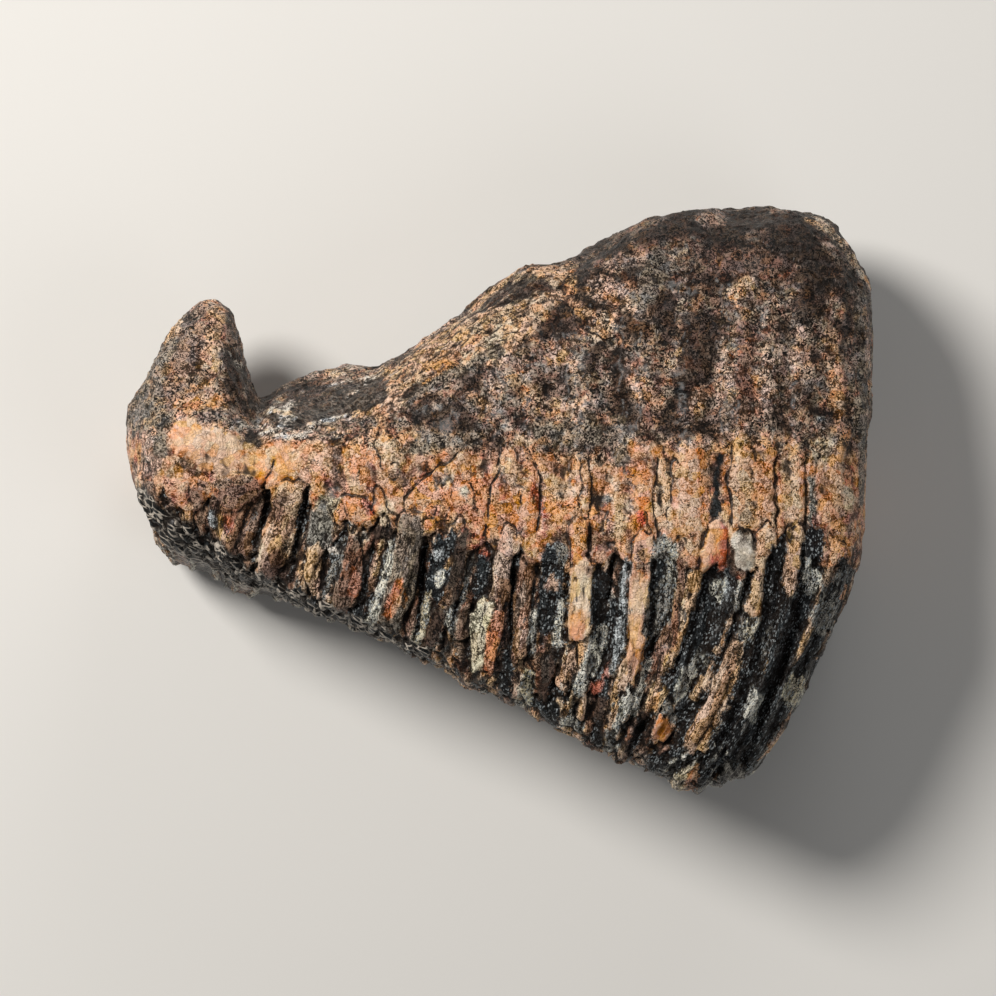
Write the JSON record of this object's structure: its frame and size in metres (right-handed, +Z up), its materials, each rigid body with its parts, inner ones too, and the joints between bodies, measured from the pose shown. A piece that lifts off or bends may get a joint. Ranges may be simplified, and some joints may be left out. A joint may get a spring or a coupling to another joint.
{
  "type": "fossil woolly mammoth tooth",
  "caption": "Fossil cheek tooth lying on its side: upright enamel plates bound in stained cement, a rough root mass above and a hooked root at the front.",
  "frame": {"origin": "bottom centre of the bounding box, on the surface the tooth lies on", "axes": "+X from the hooked front root to the back end, +Y from the chewing side to the root side, +Z up from the side the tooth lies on"},
  "size_m": [0.2206, 0.1736, 0.0901],
  "materials": {
    "fossil_tooth": "satin"
  },
  "bodies": {
    "root": {"mammoth_tooth": "fossil_tooth"}
  },
  "joints": []
}
